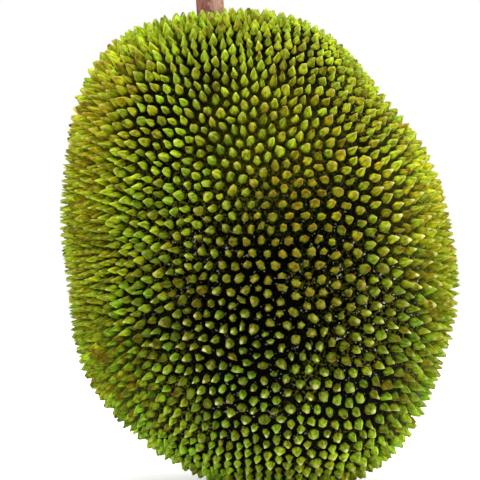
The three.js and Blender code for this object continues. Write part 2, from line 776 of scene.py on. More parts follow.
    @staticmethod
    def crooked(graph: Graph, mesh: Any, top: Socket, given: Any) -> Any:
        """Moves the shoulders of the spines out of their even shape, by a share of their height.

        Args:
            graph: The tree.
            mesh: The spines so far.
            top: The faces on top of them.
            given: What the tree is given.

        Returns:
            The crooked spines.
        """
        place = graph.add("GeometryNodeInputPosition")
        inputs = {"Vector": place, "Scale": given["Crook Scale"], "Detail": 1.0}
        clouds = graph.add("ShaderNodeTexNoise", inputs)
        wander = graph.vector_math("SUBTRACT", clouds.outputs["Color"], (0.5, 0.5, 0.5))
        share = graph.times(given["Crook"], SpineTree.stored(graph, Attribute.HEIGHT))
        offset = graph.scaled(wander, share)
        return graph.add("GeometryNodeSetPosition", {"Geometry": mesh, "Selection": top, "Offset": offset})

    @staticmethod
    def grounded(graph: Graph, mesh: Any, ground: Socket) -> Any:
        """Blunts what reaches below the surface that the fruit stands on.

        Args:
            graph: The tree.
            mesh: The spines.
            ground: The height of that surface.

        Returns:
            The blunted spines.
        """
        x, y, z = graph.add("ShaderNodeSeparateXYZ", {0: graph.add("GeometryNodeInputPosition")}).outputs
        lifted = graph.add("ShaderNodeCombineXYZ", {0: x, 1: y, 2: graph.larger(z, ground)})
        return graph.add("GeometryNodeSetPosition", {"Geometry": mesh, "Position": lifted})


@dataclass
class Rind:
    """The whole outside of the fruit, one closed mesh.

    Attributes:
        form: The egg that the spine tips reach.
        count: How many spines there are.
        spine_height: From the bottom of the deepest grooves to the tips.
        crowding_beside: How much closer they stand at the fruit's sides.
        roomier: How much of that is taken back on the way there, where they have more room.
        crowding_above: How much closer they stand towards the fruit's ends, most at the upper one.
        roomiest: How high up they have the most room, from -1 at the bottom to 1 at the top.
        rows_from: The direction that rows of them run out from, on either side of the fruit.
        in_line: How strongly they keep to those rows at a right angle to there, from 0.
        drawn_out: How much further apart they stand along those rows there, as a share.
        rounds: How often neighbours push one another apart.
        neighbours: How many of them each one has.
        eagerness: How far apart they want to stand, where 1 would be an even pattern.
        step: The share of each push that they give way to.
        row_cosine: Of the angle from its row within which a neighbour counts as in line.
        row_reach: How near it has to be then, as a share of how far apart they want to stand.
        restlessness: Of a site from where that leaves it, as a share of the spacing.
        calm: The share of the restlessness that is lost where the rows are straightest.
        stunted: Where they are shorter, each patch's strength being the share that they lack.
        bare_radius: Round the stalk's middle, with hardly any spines.
        full_radius: Round the stalk's middle, past which spines have their full height.
        bare_height: The share of it that they have inside the bare radius.
        seed: Of everything random.
    """

    form: Form
    count: int = 3800
    spine_height: float = 0.0090
    crowding_beside: float = 0.80
    roomier: float = 0.6
    crowding_above: float = 0.07
    roomiest: float = -0.3
    rows_from: tuple[float, float, float] = (0.0, 1.0, 0.0)
    in_line: float = 0.15
    drawn_out: float = 0.80
    rounds: int = 100
    neighbours: int = 8
    eagerness: float = 1.25
    step: float = 0.35
    row_cosine: float = 0.87
    row_reach: float = 1.3
    restlessness: float = 0.090
    calm: float = 0.5
    stunted: tuple[Patch, ...] = (
        Patch((0.000, -0.060, 0.010), 0.140, 0.36),
        Patch((-0.080, -0.010, 0.040), 0.070, 0.20),
        Patch((0.075, -0.020, 0.280), 0.120, 0.50),
        Patch((0.115, 0.000, 0.180), 0.080, 0.15),
    )
    bare_radius: float = 0.009
    full_radius: float = 0.013
    bare_height: float = 0.04
    seed: int = 11

    def spacing(self, directions: np.ndarray) -> np.ndarray:
        """Gives how far apart spines want to stand, as a share of that in the middle.

        Args:
            directions: Unit directions from the fruit's centre, one to a row.

        Returns:
            One share for each of them.
        """
        across, up = directions[:, 0], directions[:, 2]
        beside = self.crowding_beside * (across**4 - self.roomier * across**2)
        return 1.0 - beside - self.crowding_above * (up - self.roomiest) ** 2

    def sideways(self, directions: np.ndarray) -> np.ndarray:
        """Gives how far directions turn away from where the rows start, 1 at a right angle."""
        return 1.0 - (directions @ np.array(self.rows_from)) ** 2

    def sites(self) -> np.ndarray:
        """Gives the unit directions of the spines, evenly spread but with no pattern.

        Returns:
            One unit direction to a row.
        """
        spare = 20  # directions drawn for each spine, since most of them aren't kept
        random = np.random.default_rng(self.seed)
        drawn = unit(random.normal(size=(spare * self.count, 3)))
        crowd = (self.form.radius(drawn) / self.spacing(drawn)) ** 2
        kept = random.random(len(drawn)) < crowd / np.max(crowd)
        sites = drawn[kept][: self.count]
        for _ in range(self.rounds):
            sites = self.pushed(sites)
        even = math.sqrt(4.0 * math.pi / self.count)
        unrest = self.restlessness * even * (1.0 - self.calm * self.sideways(sites))[:, None]
        return unit(sites + random.normal(size=sites.shape) * unrest)

    def pushed(self, sites: np.ndarray) -> np.ndarray:
        """Moves every site away from its nearest neighbours, and towards the middle of its row.

        Distances along the rows count for less than those across them, so that the spines stand
        further apart along a row.

        Args:
            sites: Unit directions.

        Returns:
            The new unit directions.
        """
        tiny = 1e-9  # keeps what is divided by from being nothing
        packing = math.sqrt(0.75)  # of an even pattern: the width of a row, as a share of its pitch
        points = sites * self.form.radius(sites)[:, None]
        wanted = self.spacing(sites)
        area = 4.0 * math.pi * self.form.mean_radius**2
        wanted *= math.sqrt(area / (self.count * packing) / np.mean(wanted**2)) * self.eagerness
        tree = KDTree(len(points))
        for number, point in enumerate(points):
            tree.insert(point, number)
        tree.balance()
        nearest = np.array([[found[1] for found in tree.find_n(p, self.neighbours + 1)] for p in points])
        apart = points[:, None] - points[nearest[:, 1:]]
        start = np.array(self.rows_from)
        outward = unit(start - sites * (sites @ start)[:, None] + tiny)
        sideways = self.sideways(sites)[:, None]
        drawn = 1.0 + self.drawn_out * sideways
        out = np.sum(apart * outward[:, None], axis=2)
        even = apart - outward[:, None] * (out * (1.0 - 1.0 / drawn))[:, :, None]
        length = np.linalg.norm(even, axis=2) + tiny
        distance = length * np.sqrt(drawn)
        between = (wanted[:, None] + wanted[nearest[:, 1:]]) / 2
        push = np.maximum(between - distance, 0.0)
        moved = points + self.step * np.sum(apart * (push / distance)[:, :, None], axis=1)
        across = np.cross(sites, outward)
        along_row = np.abs(out) > self.row_cosine * drawn * length
        in_row = along_row & (distance < self.row_reach * between)
        astray = np.sum(apart * across[:, None], axis=2) * in_row
        return unit(moved - across * (self.in_line * sideways * np.sum(astray, axis=1, keepdims=True)))

    def depths(self, directions: np.ndarray) -> np.ndarray:
        """Gives how deep the grooves are, as a share of the spines' full height.

        They are shallower where the spines crowd, and where they are stunted.

        Args:
            directions: Unit directions from the fruit's centre, one to a row.

        Returns:
            One share for each of them.
        """
        points = self.form.centre + directions * self.form.radius(directions)[:, None]
        lacking = sum(patch.at(points) for patch in self.stunted)
        return np.sqrt(self.spacing(directions)) * (1.0 - lacking)

    def heights(self, directions: np.ndarray) -> np.ndarray:
        """Gives each spine's share of the full height: from groove to form, but low by the stalk.

        Args:
            directions: Unit directions from the fruit's centre, one to a row.

        Returns:
            One share for each of them.
        """
        reach = self.form.radius(directions)[:, None]
        foot = self.form.to_stalk * self.form.radius(self.form.to_stalk[None])[0]
        distance = np.linalg.norm(directions * reach - foot, axis=1)
        grown = smooth_step(self.bare_radius, self.full_radius, distance)
        return self.depths(directions) * (self.bare_height + (1.0 - self.bare_height) * grown)

    def skin(self) -> bpy.types.Object:
        """Builds the skin at the bottom of the grooves, one vertex for each spine.

        Returns:
            The skin, with each spine's share of the full height stored on it.
        """
        shell = bmesh.new()
        for site in self.sites():
            shell.verts.new(site)
        bmesh.ops.convex_hull(shell, input=shell.verts)
        mesh = as_mesh("skin", shell)
        hull = np.empty(len(mesh.vertices) * 3, np.float32)
        mesh.vertices.foreach_get("co", hull)
        directions = unit(hull.reshape(-1, 3).astype(float))
        depth = self.spine_height * self.depths(directions)
        reach = self.form.radius(directions) - depth
        points = self.form.centre + directions * reach[:, None]
        mesh.vertices.foreach_set("co", points.astype(np.float32).ravel())
        attribute = mesh.attributes.new(Attribute.HEIGHT.value, "FLOAT", "POINT")
        attribute.data.foreach_set("value", self.heights(directions).astype(np.float32))
        return linked("skin", mesh)

    def build(self, finish: bpy.types.Material) -> bpy.types.Object:
        """Builds the rind.

        Args:
            finish: The material for all of it.

        Returns:
            The piece, riding in place of the fruit's solid.
        """
        skin = self.skin()
        tree = SpineTree().build()
        modifier = skin.modifiers.new("raise_spines", "NODES")
        modifier.node_group = tree
        values = {"Spine Height": self.spine_height, "Seed": self.seed, "Finish": finish}
        for item in tree.interface.items_tree:
            if item.in_out == "INPUT" and item.name in values:
                modifier[item.identifier] = values[item.name]
        piece = baked(skin, "rind")
        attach(piece, "root")
        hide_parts("fruit")
        return piece


def baked(source: bpy.types.Object, name: str) -> bpy.types.Object:
    """Turns an object with live modifiers into a plain mesh, and removes the source.

    Args:
        source: The object to evaluate.
        name: The name of the plain object.

    Returns:
        The plain object, at the origin.
    """
    evaluated = source.evaluated_get(bpy.context.evaluated_depsgraph_get())
    mesh = bpy.data.meshes.new_from_object(evaluated)
    mesh.name = name
    source.modifiers.clear()
    bpy.data.objects.remove(source)
    return linked(name, mesh)


@dataclass(frozen=True)
class RindFinish:
    """The rind's colours from its grooves to its tips, and how they drift over the fruit, with painted
    light and shade in places.

    Attributes:
        groove: Of the skin between the spines, near black: partly its own dark colour and partly painted
            shade.
        moss: Of its greener patches.
        speck: Of the small pale spots in the grooves, partly the skin's own spots and partly painted
            glints.
        umber: Of a spine's foot, partly its own colour and partly painted shade, and of the streaks up its
            flanks.
        underlit_green: Painted light: the paler green of the flanks at the blossom end, at the bottom, as
            if lit from below.
        leaf_green: Of the flanks low on the fruit, where it stays green.
        lime: Of the flanks elsewhere.
        lit_green: Of the palest flanks, where light is painted on.
        ochre: Of the ripest flanks.
        rust: Of bruises.
        amber: Of the ring below a ripe spine's tip.
        tip_highlight: Painted highlight: the pale colour on most tips.
        brown_tip: Of dried tips.
        painted_light: Painted light: where the skin is palest, in patches on the top, the right side and
            the bottom.
        ripe: Where the fruit is ripest.
        worn: Where it is bruised and its tips have dried.
        scarred_and_shaded: Where the tips end in amber scars, most on the front of the fruit: partly the
            tips' own colour and partly painted shade.
        highlit_tips: Where the tips are palest, with the strongest painted highlights.
        mossy: Where the grooves are greenest.
        lit_feet: Painted light on the fruit's sides: where the spines are green down to their feet, with
            lighter grooves.
        shaded_feet: Painted shade on the front of the fruit: where only the upper part of a spine is green.
        specked: Where the grooves hold pale specks, partly painted glints.
        shade_and_dullness: Painted shade: where the skin is darkest, on the front of the fruit.
        shaded_and_dulled: What the painted shade and the dullness leave of each colour.
        underlit_below: The heights between which the painted light at the blossom end gives way to the
            darker green.
        green_below: The heights between which that gives way to lime.
        lime_share: How much lime there is below those heights and above them.
        lime_drift: How the lime drifts over the fruit.
        drifting: How widely it changes then.
        own_lime: How widely it changes from spine to spine.
        ripening: How the ripeness drifts over the fruit.
        own_ripeness: What the least and the most ripe spines make of it.
        ripest_from: A spine's own share from which it is as ripe as any.
        freckles: Small ripe spots.
        bruises: Rust-coloured ones, which worn places draw.
        clouds: Duller patches all over.
        own_dullness: Of the brightest and the dullest spines.
        streak: The dark streaks up the flanks.
        streaked: How strongly they show.
        roughness: Of the skin, and of the streaks.
        moss_drift: How moss drifts over the fruit.
        tufts: How it breaks up in the grooves.
        wisps: Pale wisps in the grooves.
        foot_from: The rises between which a groove gives way to a spine's foot.
        flank_from: The rises between which the foot gives way to the flank.
        ring_from: The rises between which the flank gives way to the amber ring.
        tip_from: The rises between which that gives way to the tip.
        lit_feet_rise: By how much the green starts lower where the feet get painted light.
        shaded_feet_rise: By how much it starts higher where the feet get painted shade.
        lit_foot: How green a spine's foot is where it gets painted light.
        lit_groove: How much moss green lightens the groove beside it there, as painted light.
        ring: How strongly the ring shows below the ripest tips.
        dried_from: The sums of wear and a spine's own share between which its tip is dry.
        scar_from: A spine's own shares between which its scar goes from amber to brown.
        cream_from: A spine's own shares between which its tip gets its painted highlight.
        tipped: How strongly every tip shows.
        marked: How much more strongly a dried tip or a tip with a scar does.
    """

    groove: Colour = colour(0.0014, 0.0010, 0.0006)
    moss: Colour = colour(0.120, 0.122, 0.010)
    speck: Colour = colour(0.560, 0.580, 0.480)
    umber: Colour = colour(0.040, 0.038, 0.001)
    underlit_green: Colour = colour(0.430, 0.800, 0.030)
    leaf_green: Colour = colour(0.310, 0.660, 0.026)
    lime: Colour = colour(0.570, 0.750, 0.022)
    lit_green: Colour = colour(0.700, 0.880, 0.036)
    ochre: Colour = colour(0.640, 0.530, 0.016)
    rust: Colour = colour(0.300, 0.110, 0.008)
    amber: Colour = colour(0.280, 0.145, 0.010)
    tip_highlight: Colour = colour(0.740, 0.760, 0.240)
    brown_tip: Colour = colour(0.110, 0.050, 0.012)
    painted_light: tuple[Patch, ...] = (
        Patch((-0.020, -0.100, 0.265), 0.080, 0.62),
        Patch((0.095, -0.065, 0.185), 0.070, 0.50),
        Patch((0.000, -0.080, 0.030), 0.080, 0.30),
    )
    ripe: tuple[Patch, ...] = (
        Patch((0.010, -0.110, 0.220), 0.090, 0.40),
        Patch((0.100, -0.060, 0.170), 0.130, 0.42),
        Patch((-0.115, -0.040, 0.235), 0.070, 0.60),
        Patch((0.020, -0.120, 0.150), 0.060, 0.20),
        Patch((-0.130, -0.030, 0.150), 0.070, 0.25),
    )
    worn: tuple[Patch, ...] = (
        Patch((-0.112, -0.050, 0.066), 0.070, 0.90),
        Patch((-0.125, -0.040, 0.185), 0.055, 0.25),
        Patch((-0.060, -0.110, 0.120), 0.030, 0.50),
    )
    scarred_and_shaded: tuple[Patch, ...] = (
        Patch((0.008, -0.120, 0.155), 0.080, 0.95),
        Patch((0.020, -0.110, 0.215), 0.060, 0.30),
    )
    highlit_tips: tuple[Patch, ...] = (
        Patch((0.000, -0.080, 0.040), 0.110, 0.80),
        Patch((0.070, -0.090, 0.130), 0.060, 0.80),
        Patch((0.075, -0.085, 0.190), 0.050, 0.60),
        Patch((-0.050, -0.110, 0.110), 0.060, 0.50),
    )
    mossy: tuple[Patch, ...] = (
        Patch((0.000, -0.120, 0.215), 0.075, 0.60),
        Patch((-0.075, -0.090, 0.170), 0.070, 0.75),
        Patch((0.060, -0.100, 0.120), 0.060, 0.80),
        Patch((-0.090, -0.070, 0.060), 0.055, 0.80),
    )
    lit_feet: tuple[Patch, ...] = (
        Patch((-0.135, -0.030, 0.190), 0.085, 1.00),
        Patch((-0.115, -0.010, 0.270), 0.080, 1.00),
        Patch((-0.125, -0.020, 0.080), 0.080, 0.80),
        Patch((0.110, -0.050, 0.170), 0.095, 1.00),
        Patch((0.085, -0.010, 0.260), 0.080, 1.00),
        Patch((0.090, -0.020, 0.080), 0.080, 0.60),
        Patch((-0.010, -0.110, 0.220), 0.070, 0.40),
    )
    shaded_feet: tuple[Patch, ...] = (
        Patch((0.000, -0.120, 0.130), 0.090, 0.50),
        Patch((-0.010, -0.090, 0.060), 0.080, 0.10),
        Patch((0.065, -0.095, 0.185), 0.050, 0.30),
    )
    specked: tuple[Patch, ...] = (
        Patch((0.010, -0.120, 0.140), 0.080, 0.40),
        Patch((0.060, -0.100, 0.115), 0.070, 1.00),
        Patch((-0.060, -0.105, 0.140), 0.070, 0.50),
        Patch((-0.010, -0.090, 0.060), 0.050, 0.50),
    )
    shade_and_dullness: tuple[Patch, ...] = (
        Patch((0.000, -0.120, 0.125), 0.080, 0.64),
        Patch((-0.030, -0.110, 0.070), 0.080, 0.50),
        Patch((-0.060, -0.110, 0.130), 0.070, 0.35),
        Patch((0.065, -0.100, 0.130), 0.060, 0.30),
        Patch((0.080, -0.080, 0.070), 0.080, 0.35),
        Patch((0.060, -0.070, 0.250), 0.060, 0.20),
    )
    shaded_and_dulled: Colour = colour(0.42, 0.40, 0.70)
    underlit_below: Span = (0.01, 0.06)
    green_below: Span = (0.03, 0.17)
    lime_share: Span = (0.15, 0.75)
    lime_drift: Mottle = Mottle(13.0, 0.36, 0.64)
    drifting: float = 0.5
    own_lime: float = 0.6
    ripening: Mottle = Mottle(34.0, 0.48, 0.70, 0.25)
    own_ripeness: Span = (0.25, 1.10)
    ripest_from: float = 0.9
    freckles: Mottle = Mottle(115.0, 0.50, 0.62, 0.45)
    bruises: Mottle = Mottle(110.0, 0.60, 0.72, 0.65, 0.16)
    clouds: Mottle = Mottle(52.0, 0.40, 0.62, 0.30)
    own_dullness: Span = (0.0, 0.62)
    streak: Mottle = Mottle(520.0, 0.44, 0.60)
    streaked: float = 0.52
    roughness: Span = (0.38, 0.58)
    moss_drift: Mottle = Mottle(22.0, 0.54, 0.68)
    tufts: Mottle = Mottle(520.0, 0.49, 0.62)
    wisps: Mottle = Mottle(420.0, 0.64, 0.69)
    foot_from: Span = (0.08, 0.20)
    flank_from: Span = (0.14, 0.34)
    ring_from: Span = (0.55, 0.85)
    tip_from: Span = (0.72, 0.93)
    lit_feet_rise: float = 0.09
    shaded_feet_rise: float = 0.24
    lit_foot: float = 0.70
    lit_groove: float = 0.42
    ring: float = 0.6
    dried_from: Span = (0.70, 0.95)
    scar_from: Span = (0.6, 0.9)
    cream_from: Span = (0.3, 0.9)
    tipped: float = 0.25
    marked: float = 0.5

    def build(self, effects: SharedEffects) -> bpy.types.Material:
        """Builds the material.

        Args:
            effects: The shader groups that it may place.

        Returns:
            The material.
        """
        finish = Finish("rind", effects)
        graph = finish.graph
        rise = finish.attribute(Attribute.RISE)
        cell = finish.attribute(Attribute.CELL)
        lit_feet = finish.zone(self.lit_feet)
        worn = finish.zone(self.worn)
        ripe = self.ripeness(finish, cell)
        streaks = self.streaks(finish)
        # painted light on the fruit's sides lets the green reach lower down the spines
        green_from = graph.plus(rise, graph.times(lit_feet, self.lit_feet_rise))
        # painted shade on the front makes the green start higher up the spines
        green_from = graph.minus(green_from, graph.times(finish.zone(self.shaded_feet), self.shaded_feet_rise))
        body = self.flanks(finish, cell, ripe, worn)
        body = graph.mixed(graph.times(streaks, self.streaked), body, self.umber)
        # a spine's dark foot is partly its own colour and partly painted shade
        foot = graph.mixed(graph.times(lit_feet, self.lit_foot), self.umber, body)
        lit = graph.mixed(graph.stepped(green_from, *self.flank_from), foot, body)
        tipped = self.tips(finish, rise, cell, ripe, worn, lit)
        standing = graph.stepped(green_from, *self.foot_from)
        grown = graph.mixed(standing, self.grooves(finish, lit_feet), tipped)
        finish.feed(Base_Color=grown, Roughness=graph.stepped(streaks, 0.0, 1.0, self.roughness))
        finish.feed(Specular_IOR_Level=0.02)
        finish.bumped(streaks, distance=0.0004)
        return finish.material

    def streaks(self, finish: Finish) -> Socket:
        """Gives the dark streaks that run up every spine, along its own axis.

        Args:
            finish: The material that is being built.

        Returns:
            The mask.
        """
        graph = finish.graph
        axis = finish.attribute(Attribute.AXIS, "Vector")
        along = graph.vector_math("DOT_PRODUCT", finish.position, axis, output=1)
        beside = graph.vector_math("SUBTRACT", finish.position, graph.scaled(axis, along))
        return finish.mottle(self.streak, place=beside)

    def ripeness(self, finish: Finish, cell: Socket) -> Socket:
        """Gives how ripe the skin is, which differs from spine to spine.

        Args:
            finish: The material that is being built.
            cell: Each spine's own random share.

        Returns:
            The ripeness, from 0 to 1.
        """
        graph = finish.graph
        ripe = graph.plus(finish.zone(self.ripe), finish.mottle(self.ripening))
        ripe = graph.times(ripe, graph.stepped(cell, 0.0, self.ripest_from, self.own_ripeness))
        return graph.plus(ripe, finish.mottle(self.freckles), clamp=True)

    def flanks(self, finish: Finish, cell: Socket, ripe: Socket, worn: Socket) -> Socket:
        """Gives the colour of the spines' flanks, which drifts over the fruit and from spine to spine, with
        painted light and painted shade in places.

        Args:
            finish: The material that is being built.
            cell: Each spine's own random share.
            ripe: How ripe the skin is.
            worn: How worn it is.

        Returns:
            The colour.
        """
        graph = finish.graph
        height = graph.add("ShaderNodeSeparateXYZ", {0: finish.position}).outputs["Z"]
        lime = graph.plus(
            graph.stepped(height, *self.green_below, self.lime_share),
            graph.about_zero(finish.mottle(self.lime_drift), self.drifting),
        )
        lime = graph.plus(lime, graph.about_zero(cell, self.own_lime), clamp=True)
        # painted light: the flanks are paler green at the bottom, as if lit from below
        low_green = graph.mixed(graph.stepped(height, *self.underlit_below), self.underlit_green, self.leaf_green)
        green = graph.mixed(lime, low_green, self.lime)
        # painted light: paler patches on the top, the right side and the bottom
        green = graph.mixed(finish.zone(self.painted_light), green, self.lit_green)
        ripened = graph.mixed(ripe, green, self.ochre)
        bruised = graph.mixed(finish.mottle(self.bruises, drawing=worn), ripened, self.rust)
        own_dullness = graph.stepped(finish.attribute(Attribute.SHADE), 0.0, 1.0, self.own_dullness)
        # painted shade: the front of the fruit is darker; clouds and each spine's own dullness add to it
        shade_and_dullness = graph.plus(finish.zone(self.shade_and_dullness), finish.mottle(self.clouds))
        shade_and_dullness = graph.plus(shade_and_dullness, own_dullness, clamp=True)
        return graph.mixed(shade_and_dullness, bruised, self.shaded_and_dulled, "MULTIPLY")

    def grooves(self, finish: Finish, lit_feet: Socket) -> Socket:
        """Gives the colour between the spines: near black, partly as painted shade, with moss green in
        places and some pale specks, which are partly painted glints.

        Args:
            finish: The material that is being built.
            lit_feet: How green the spines are at their feet, as painted light that lightens the grooves
                too.

        Returns:
            The colour.
        """
        graph = finish.graph
        mossy = graph.larger(finish.zone(self.mossy), finish.mottle(self.moss_drift))
        mossy = graph.times(mossy, finish.mottle(self.tufts))
        dots = finish.flecks(scale=500.0, size=0.32, share=0.07)
        # pale specks: partly the skin's own spots and partly painted glints
        pale = graph.times(finish.zone(self.specked), graph.larger(dots, finish.mottle(self.wisps)))
        # the near-black groove is partly painted shade; painted light lightens it to moss green beside lit
        # feet
        bare = graph.mixed(graph.times(lit_feet, self.lit_groove), self.groove, self.moss)
        return graph.mixed(pale, graph.mixed(mossy, bare, self.moss), self.speck)

    def tips(
        self, finish: Finish, rise: Socket, cell: Socket, ripe: Socket, worn: Socket, below: Socket
    ) -> Socket:
        """Ends the spines in a pale tip, which is a painted highlight, in an amber scar, which is partly
        painted shade, or in a dried brown tip.

        Args:
            finish: The material that is being built.
            rise: The share of the way up a spine.
            cell: Each spine's own random share.
            ripe: How ripe the skin is.
            worn: How worn it is.
            below: The colour below the tip.

        Returns:
            The colour below the tip and on it.
        """
        graph = finish.graph
        # amber scars and rings on the front: partly the tips' own colour and partly painted shade
        scarred_and_shaded = finish.zone(self.scarred_and_shaded)
        ring = graph.times(graph.stepped(rise, *self.ring_from), graph.larger(ripe, scarred_and_shaded))
        ringed = graph.mixed(graph.times(ring, self.ring), below, self.amber)
        dried = graph.stepped(graph.plus(finish.attribute(Attribute.SHADE), worn), *self.dried_from)
        scar = graph.mixed(graph.stepped(cell, *self.scar_from), self.amber, self.brown_tip)
        # painted highlight: the pale colour on most tips
        tip = graph.mixed(dried, graph.mixed(scarred_and_shaded, self.tip_highlight, scar), self.brown_tip)
        pale = graph.times(finish.zone(self.highlit_tips), graph.stepped(cell, *self.cream_from))
        shown = graph.larger(pale, graph.times(graph.larger(dried, scarred_and_shaded), self.marked))
        shown = graph.times(graph.stepped(rise, *self.tip_from), graph.plus(self.tipped, shown))
        return graph.mixed(shown, ringed, tip)


# ---------------------------------------------------------------------------------------------
# The stalk
# ---------------------------------------------------------------------------------------------


@dataclass
class Stalk:
    """The woody shoot that the fruit hung from, cut off square.

    Attributes:
        lean: Of its axis from upright, its top towards -X.
        taper: Its radius above the foot's collar, as a share of the collar's.
        collar: How far up the foot's collar reaches, as a share of the length.
        sides: How many faces it has round it.
        levels: How many rings of faces it has up it.
        ridges: How many low ridges run up its bark.
        ridge_height: How far they stand out.
        ridge_wander: How far they turn from straight, as an angle of their wave.
        wander_scale: How often they do.
        lumpiness: How far its broad lumps stand out, as a share of the radius.
        lump_scale: How fine those are.
        grain_scale: How fine the grain on it is, round it and up it.
        pattern_length: The stalk's, where lumps, wander and grain take its radius for 1.
        rim: The cut end's rings, with each one's share of the bark's radius and its height.
    """

    lean: float = math.radians(4.5)
    taper: float = 0.865
    collar: float = 0.26
    sides: int = 72
    levels: int = 60
    ridges: int = 13
    ridge_height: float = 0.00022
    ridge_wander: float = 2.5
    wander_scale: float = 2.0
    lumpiness: float = 0.030
    lump_scale: float = 1.3
    grain_scale: Span = (9.0, 4.0)
    pattern_length: float = 2.2
    rim: tuple[tuple[float, float], ...] = (
        (0.985, 0.00015),
        (0.93, 0.00010),
        (0.89, -0.00055),
        (0.85, -0.00010),
        (0.60, 0.00010),
        (0.30, 0.00005),
        (0.14, -0.00010),
        (0.10, -0.00060),
    )

    def axis(self) -> tuple[Vector, Vector, float]:
        """Finds the solid's axis in its box.

        Returns:
            The middle of its foot, the middle of its top, and its radius at the foot.
        """
        low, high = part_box("stalk")
        foot_radius = (high.y - low.y) / 2
        across, up = math.cos(self.lean), math.sin(self.lean)
        middle = (high.y + low.y) / 2
        foot = Vector((high.x - foot_radius * across, middle, low.z + foot_radius * up))
        top_radius = foot_radius * self.taper
        top = Vector((low.x + top_radius * across, middle, high.z - top_radius * up))
        return foot, top, foot_radius

    def radius_at(self, height: float, turn: float, foot_radius: float) -> float:
        """Gives the bark's distance from the axis.

        Args:
            height: From 0 at the foot to 1 at the top.
            turn: Round the axis.
            foot_radius: The radius at the foot.

        Returns:
            The distance in metres.
        """
        rise = min(height / self.collar, 1.0)
        even = foot_radius * (1.0 - (1.0 - self.taper) * rise * rise * (3.0 - 2.0 * rise))
        place = Vector((math.cos(turn), math.sin(turn), self.pattern_length * height))
        lumpy = self.lumpiness * noise.noise(place * self.lump_scale)
        wander = self.ridge_wander * noise.noise(place * self.wander_scale)
        ridged = math.sin(self.ridges * turn + wander) * self.ridge_height
        round_it, up_it = self.grain_scale
        fine = Vector((place.x * round_it, place.y * round_it, place.z * up_it))
        grain = noise.noise(fine) * self.ridge_height
        return even * (1.0 + lumpy) + ridged + grain - self.ridge_height

    def build(self, finish: bpy.types.Material) -> bpy.types.Object:
        """Builds the stalk.

        Args:
            finish: The material for all of it.

        Returns:
            The piece, riding in place of the stalk's solid.
        """
        foot, top, foot_radius = self.axis()
        along = (top - foot).normalized()
        forward = Vector((0.0, 1.0, 0.0))
        side = forward.cross(along)
        turns = [2.0 * math.pi * number / self.sides for number in range(self.sides)]
        shell = bmesh.new()
        cut = shell.verts.layers.float.new(Attribute.CUT.value)

        def ring(middle: Vector, radii: list[float], depth: float) -> list[bmesh.types.BMVert]:
            """Adds one ring of vertices round the axis.

            Args:
                middle: The ring's middle.
                radii: How far each vertex lies from it.
                depth: The share of the way in that they store.

            Returns:
                The vertices, in order round the axis.
            """
            verts = []
            for turn, radius in zip(turns, radii):
                outward = side * math.cos(turn) + forward * math.sin(turn)
                verts.append(shell.verts.new(middle + outward * radius))
                verts[-1][cut] = depth
            return verts

        rings = []
        for level in range(self.levels + 1):
            height = level / self.levels
            radii = [self.radius_at(height, turn, foot_radius) for turn in turns]
            rings.append(ring(foot.lerp(top, height), radii, 0.0))
        for share, rise in self.rim:
            rings.append(ring(top + along * rise, [radius * share for radius in radii], 1.0 - share))
        for lower, upper in zip(rings, rings[1:]):
            for number in range(self.sides):
                after = (number + 1) % self.sides
                shell.faces.new((lower[number], lower[after], upper[after], upper[number]))
        shell.faces.new(rings[-1])
        shell.faces.new(reversed(rings[0]))
        bmesh.ops.recalc_face_normals(shell, faces=shell.faces)
        mesh = as_mesh("stalk_bark", shell)
        for face in mesh.polygons:
            face.use_smooth = len(face.vertices) == 4
        mesh.materials.append(finish)
        piece = linked("stalk_bark", mesh)
        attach(piece, "root")
        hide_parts("stalk")
        return piece


